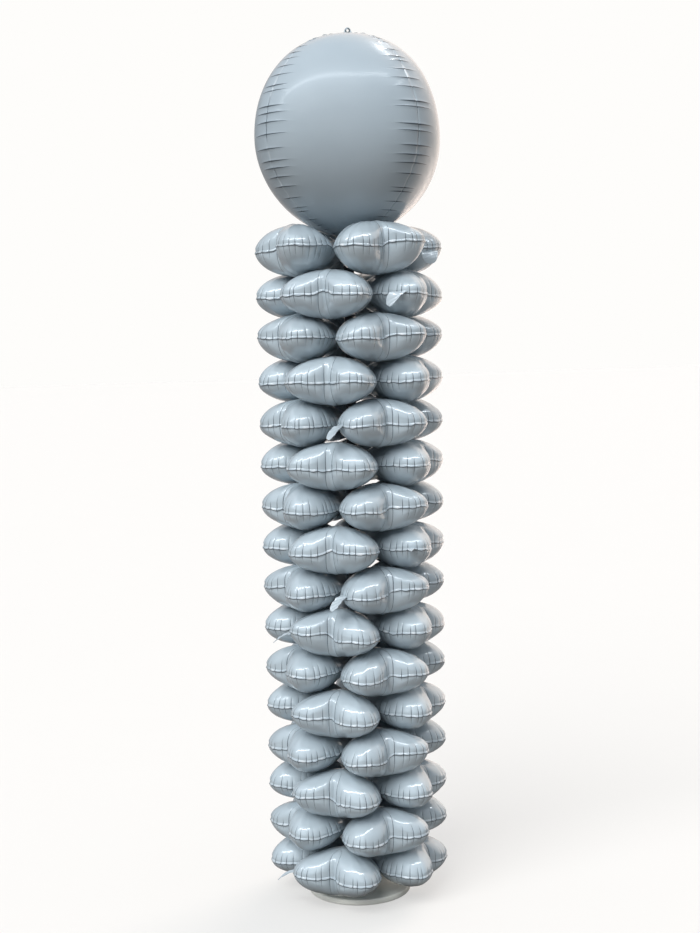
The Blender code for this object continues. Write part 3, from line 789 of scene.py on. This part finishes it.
roundBalloon = {
    "halfWidth": 0.188,
    "upperHeight": 0.207,
    "lowerHeight": 0.195,
    "upperTaper": 0.88,        # under 1 makes a half fuller than an ellipse, over 1 leaner
    "lowerTaper": 1.05,
    "equator": 1.619,
    "heading": -122,
    "aside": 0.0035,           # how far it sits off the axis, along its seams' plane
    "squareness": 3.1,
    "tipAngle": 89.93,
    # a panel's nominal width at the equator and length from tip to tip; the curved film is a tenth longer
    "panelWidth": 0.286,
    "seamLength": 0.58,
    "rowShares": (0, 0.07, 0.2, 0.4, 0.6, 0.8, 0.93),   # the grid's rows, as shares of the gap between pleats
    # the grid's columns: distances from either seam, then how many more there are in between
    "sideSteps": (0, 0.0008, 0.0018, 0.0035, 0.006, 0.009, 0.0125, 0.0165, 0.021, 0.026, 0.032, 0.040, 0.050),
    "middleFrom": 0.063,
    "middleCount": 9,
    "pleats": 30,
    "pleatSpread": 0.33,
    "pleatDepth": (0.0009, 0.0020),
    "pleatLength": (0.037, 0.050),
    "lineWidth": 0.0013,
    "grooveDepth": 0.0010,
    "grooveWidth": 0.0008,
    "shoulder": (0.0010, 0.03),      # how far the film swells beside the seam, and how far from it
    "finHeight": 0.0042,
    "finWidth": 0.0012,
    "finTilt": 62,             # degrees to either side
    "finWave": 0.16,           # length of its swings along the seam
    "seamHighlightReach": 0.0022,        # how far from the seam the painted highlight reaches
    "film": 0.001,
}


def roundPoint(rise, turn):
    # Upper and lower half ellipses up and down; across, a rounded square at the equator, a circle at the tips
    shape = roundBalloon
    height = np.where(rise > 0, shape["upperHeight"], shape["lowerHeight"])
    power = 2 + (shape["squareness"] - 2) * np.cos(rise) ** 2
    swell = (np.abs(np.cos(turn)) ** power + np.abs(np.sin(turn)) ** power) ** (-1 / power)
    taper = np.where(rise > 0, shape["upperTaper"], shape["lowerTaper"])
    radius = shape["halfWidth"] * np.cos(rise) ** taper * swell
    return np.stack([radius * np.cos(turn), radius * np.sin(turn), height * np.sin(rise)], axis=-1)


def seamPleats(rng):
    # One seam's pleats: the places with both ends, as shares of the way up the seam, then the depths, and the
    # lengths on the panels to its right and to its left
    shape = roundBalloon
    count, spread = shape["pleats"], shape["pleatSpread"]
    places = (np.arange(count) + 0.5 + rng.uniform(-spread, spread, count)) / count
    edges = np.concatenate([[0], places, [1]])
    return edges, rng.uniform(*shape["pleatDepth"], count), rng.uniform(*shape["pleatLength"], (2, count))


def makePanel(seams, tilts):
    # A panel between two seams, at the origin. Its rows run from a pleat on one seam to the same pleat on the
    # other, so both sets of pleats are sharp. Pleats are shorter towards the tips, by
    # 0.15 + 0.85 * cos(rise)^2.2, and the edge stands up as a fin that swings from side to side
    shape = roundBalloon
    width, tip = shape["panelWidth"], np.radians(shape["tipAngle"])
    sideSteps = np.array(shape["sideSteps"])
    middle = np.linspace(shape["middleFrom"], width - shape["middleFrom"], shape["middleCount"])
    across = np.concatenate([sideSteps, middle, width - sideSteps[::-1]]) / width
    ends = [np.append(betweenPleats(edges, shape["rowShares"]), 1.0) for edges, _, _ in seams]
    blend = across[None] ** 2 * (3 - 2 * across[None])
    along = ends[0][:, None] * (1 - blend) + ends[1][:, None] * blend
    rise = tip * (2 * along - 1)
    turn = np.radians(-45 + 90 * across)[None] + 0 * rise
    points = roundPoint(rise, turn)
    normals = -gridNormals(points)
    narrow = np.cos(rise)
    push, crease, lean = np.zeros(rise.shape), np.full(rise.shape, -4.0), np.zeros(rise.shape)
    swell, swellReach = shape["shoulder"]
    seamTable = np.linspace(0, 1, len(tilts[0]))
    for side, (edges, depths, lengths) in enumerate(seams):
        away = (across if side == 0 else 1 - across)[None] * width * narrow
        signed, cusp = pleatCusps(ends[side], edges)
        groove = np.exp(-np.abs(signed) * shape["seamLength"] / shape["grooveWidth"])
        reach = lengths[side] * (0.15 + 0.85 * np.cos(tip * (2 * edges[1:-1] - 1)) ** 2.2)
        fade = np.clip(1 - away[..., None] / reach, 0, 1)
        dip = depths * cusp[:, None] * fade + shape["grooveDepth"] * groove[:, None] * fade ** 0.5
        push -= dip.sum(axis=-1)
        # painted shade along each pleat's crease
        line = fade ** 0.5 - (np.abs(signed) * shape["seamLength"] / shape["lineWidth"])[:, None]
        crease = np.maximum(crease, np.clip(line.max(axis=-1), -4, 1))
        push += swell * np.clip(1 - away / swellReach, 0, 1)
        tilt = np.radians(shape["finTilt"]) * np.interp(ends[side], seamTable, tilts[side])
        lean = np.where((across < 0.5) == (side == 0), tilt[:, None], lean)
    fromEdge = np.minimum(across, 1 - across)[None] * width
    fin = (fromEdge < shape["finWidth"]) * shape["finHeight"] * np.clip(narrow * 3, 0, 1)
    sideways = np.stack([-np.sin(turn), np.cos(turn), 0 * turn], axis=-1)
    points = points + normals * (push + fin * np.cos(lean))[..., None]
    points = points + sideways * (fin * np.sin(lean))[..., None]
    # Painted highlight along the seam, brighter on the side to which the fin leans
    weld = np.clip(1 - fromEdge / shape["seamHighlightReach"], 0, 1) * np.clip(0.5 + 0.5 * np.sin(lean * 2.2), 0, 1)
    return points, crease, weld


def makeRoundBalloon(material):
    shape = roundBalloon
    rng = np.random.default_rng(77)
    seams = [seamPleats(rng) for _ in range(4)]
    seamTable = np.linspace(0, 1, 240)
    tilts = [wander(rng, seamTable * shape["seamLength"], shape["finWave"]) for _ in range(4)]
    aside = shape["aside"] * towards(shape["heading"] + 90)
    for number in range(4):
        after = (number + 1) % 4
        points, crease, weld = makePanel((seams[number], seams[after]), (tilts[number], tilts[after]))
        points[..., 2] += shape["equator"]
        grid = turned(points, shape["heading"] + 90 * number) + aside
        part = thinSheet(grid[:, ::-1], shape["film"], {"crease": crease[:, ::-1], "weld": weld[:, ::-1]})
        node = f"topper_panel_{number + 1}"
        makePiece(f"roundPanel{number + 1}", [part], material, "topper", [node], 60)
    print("round balloon made")


hangTab = {
    "foot": 1.8255,            # a little inside the round balloon's crown
    "heading": -122,
    "aside": 0.0060,
    "height": 0.0158,
    "footWidth": 0.034,
    "neckWidth": 0.0125,
    "holeHeight": 0.0098,
    "holeRadius": 0.0024,
    "ringRadius": 0.0040,
    "ringThickness": 0.0013,
    "ringForward": 0.0010,
    "bend": 0.0012,
    "crinkle": (0.0004, 600),  # height, and radians to a metre
    "film": 0.0007,
}


def makeHangTab(material, ringMaterial):
    # A flared tab with a round top: rays run from the eyelet's hole to the outline, whose half width at
    # height h is the neck's plus the foot's flare times (1 - h / height)^3, under a half circle
    shape = hangTab
    turns = np.linspace(0, 2 * math.pi, 73)[:-1]
    ray = np.stack([np.cos(turns), np.sin(turns)], axis=-1)
    reach = np.linspace(0, 0.03, 600)
    spots = ray[:, None] * reach[None, :, None] + np.array([0, shape["holeHeight"]])
    across, up = np.abs(spots[..., 0]), spots[..., 1]
    halfNeck = shape["neckWidth"] / 2
    overTop = np.clip(up - (shape["height"] - halfNeck), 0, None)
    flare = (shape["footWidth"] - shape["neckWidth"]) / 2 * np.clip(1 - up / shape["height"], 0, 1) ** 3
    cap = np.sqrt(np.clip(halfNeck ** 2 - overTop ** 2, 0, None))
    inside = (across <= cap + flare) & (up >= 0) & (up <= shape["height"])
    edge = reach[np.clip(inside.cumprod(axis=1).sum(axis=1), 1, len(reach) - 1)]
    share = np.linspace(0, 1, 8)[:, None]
    distance = shape["holeRadius"] + (edge - shape["holeRadius"]) * share
    flat = distance[..., None] * ray + np.array([0, shape["holeHeight"]])
    bend = shape["bend"] * np.sin(flat[..., 1] / shape["height"] * math.pi)
    height, rate = shape["crinkle"]
    bend = bend + height * np.sin(flat[..., 0] * rate)
    grid = np.stack([flat[..., 0], bend, flat[..., 1]], axis=-1)
    tab = thinSheet(grid, shape["film"], {"weld": np.full(grid.shape[:2], 0.3)}, closed=True)
    rounds = [(math.cos(turn), math.sin(turn)) for turn in np.linspace(0, 2 * math.pi, 13)[:-1]]
    thickness = shape["ringThickness"]
    ring = lathePart([(shape["ringRadius"] + thickness * x, thickness * y) for x, y in rounds], 40)
    upright = np.array([[1, 0, 0], [0, 0, -1], [0, 1, 0]])
    ring["points"] = ring["points"] @ upright.T + np.array([0, shape["ringForward"], shape["holeHeight"]])
    for part in (tab, ring):
        part["points"] = part["points"] + np.array([shape["aside"], 0, shape["foot"]])
        part["points"] = turned(part["points"], shape["heading"] + 90)
    makePiece("hangTabFilm", [tab], material, "topper", ["hang_tab"], 60)
    makePiece("hangTabEyelet", [ring], ringMaterial, "topper", [], 60)
    print("hanging tab made")


# Base plate, socket, pole and cup

stand = {
    "plateRadius": 0.1125,
    "plateHeight": 0.013,
    "plateRound": 0.0045,
    "flangeRadius": 0.030,
    "flangeHeight": 0.005,
    "neckRadius": 0.0165,
    "neckFoot": (0.002, 0.0065, 0.014),   # how much wider than the neck, how high that is, and where it ends
    "socketRound": 0.0015,
    "poleRadius": 0.011,
    "poleTop": 1.411,
    "poleRound": 0.0008,
    "seatGap": 0.0003,         # between pieces that touch
    # name, and colours new and worn
    "enamel": ("sprayedSteelEnamel", ("#f8f9f3", "#eceee6")),
    "plastic": ("mouldedPolypropylene", ("#20262c", "#2b3238")),
    "eyelet": ("mouldedEyeletNylon", ("#5c6463", "#2b3238")),
    # smoothest and roughest, the pattern of its wear, dimples or grains to a metre, their strength and
    # height, and what else its shader has. Sprayed enamel has a soft sheen and is duller and greyer where
    # shoes and hands rub it; moulded plastic is satin with faint scuffs
    "enamelFinish": ((0.38, 0.60), {"Scale": 14.0, "Detail": 5.0, "Roughness": 0.65}, 1000 / 1.8,
                     (0.15, 0.0003), {"Coat Weight": 0.2, "Coat Roughness": 0.2}),
    "plasticFinish": ((0.35, 0.55), {"Scale": 60.0, "Detail": 4.0}, 1400.0, (0.1, 0.0001), {"IOR": 1.49}),
}


def makeWornMaterial(name, colours, roughness, wearPattern, grainScale, grainBump, shaderSettings):
    # Its colour and its gloss both follow the wear, over a fine bump
    material, tree, shader, place = startMaterial(name, shaderSettings)
    wear = addNode(tree, "TexNoise", wearPattern, {"Vector": place})
    new, worn = (toLinear(colour) for colour in colours)
    paint = addNode(tree, "Mix", {6: new, 7: worn}, {0: wear["Fac"]})
    tree.links.new(paint[2], shader.inputs["Base Color"])
    smoothest, roughest = roughness
    gloss = addNode(tree, "MapRange", {"To Min": smoothest, "To Max": roughest}, {"Value": wear["Fac"]})
    tree.links.new(gloss["Result"], shader.inputs["Roughness"])
    grain = addNode(tree, "TexNoise", {"Scale": grainScale, "Detail": 1.0}, {"Vector": place})
    strength, height = grainBump
    bump = addNode(tree, "Bump", {"Strength": strength, "Distance": height}, {"Height": grain["Fac"]})
    tree.links.new(bump["Normal"], shader.inputs["Normal"])
    return material


def makeStand(enamel, plastic):
    shape = stand
    high, gap, top, pole = (shape[key] for key in ("plateHeight", "seatGap", "poleTop", "poleRadius"))
    plate, flange, neck = (shape[key] for key in ("plateRadius", "flangeRadius", "neckRadius"))
    wider, footTop, straight = shape["neckFoot"]
    low, bore, socketTop = high + gap, pole + gap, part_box("base_socket")[1][2]
    plateCorners = [(0, 0), (plate, 0), (plate, high), (0, high)]
    socketCorners = [
        (bore, low), (flange, low), (flange, low + shape["flangeHeight"]), (neck + wider, low + footTop),
        (neck, low + straight), (neck, socketTop), (bore, socketTop)]
    poleCorners = [(0, low), (pole, low), (pole, top), (0, top)]
    # name, CAD node, material, slot, corners of its profile, their rounding with its steps, sides
    turnedPieces = (
        ("basePlateDisc", "base_plate", enamel, "painted_base", plateCorners, shape["plateRound"], 7, 128),
        ("baseSocketMoulding", "base_socket", plastic, "dark_plastic", socketCorners,
         shape["socketRound"], 4, 64),
        ("poleTube", "pole", plastic, "dark_plastic", poleCorners, shape["poleRound"], 4, 48),
    )
    for name, node, material, slot, corners, rounding, steps, sides in turnedPieces:
        profile = roundedProfile(corners, rounding, steps)
        makePiece(name, [lathePart(profile, sides)], material, "column", [node], 40)
    print("stand made")


def finishCup(plastic):  # the cup's turned shape is right as the CAD has it, so it only gets its material
    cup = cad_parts["topper_cup"]
    cup.data.materials.clear()
    cup.data.materials.append(plastic)


makeCamera()
makeFloor()
makeSurroundings()
for sunName, sunValues in sunTable.items():
    makeSun(sunName, *sunValues)
for lampName, lampValues in lampTable.items():
    makeLamp(lampName, *lampValues)
print("studio made")

foilMaterial = makeFoilMaterial("metallisedNylonFilm", *foilFilm["ink"], *foilFilm["skin"])
roundMaterial = makeFoilMaterial("metallisedNylonFilmRound", *foilFilm["roundInk"], *foilFilm["roundSkin"])
enamelMaterial = makeWornMaterial(*stand["enamel"], *stand["enamelFinish"])
poleMaterial = makeWornMaterial(*stand["plastic"], *stand["plasticFinish"])
eyeletMaterial = makeWornMaterial(*stand["eyelet"], *stand["plasticFinish"])
makeStand(enamelMaterial, poleMaterial)
makeLobedBalloons(foilMaterial)
makeRoundBalloon(roundMaterial)
makeHangTab(foilMaterial, eyeletMaterial)
finishCup(poleMaterial)
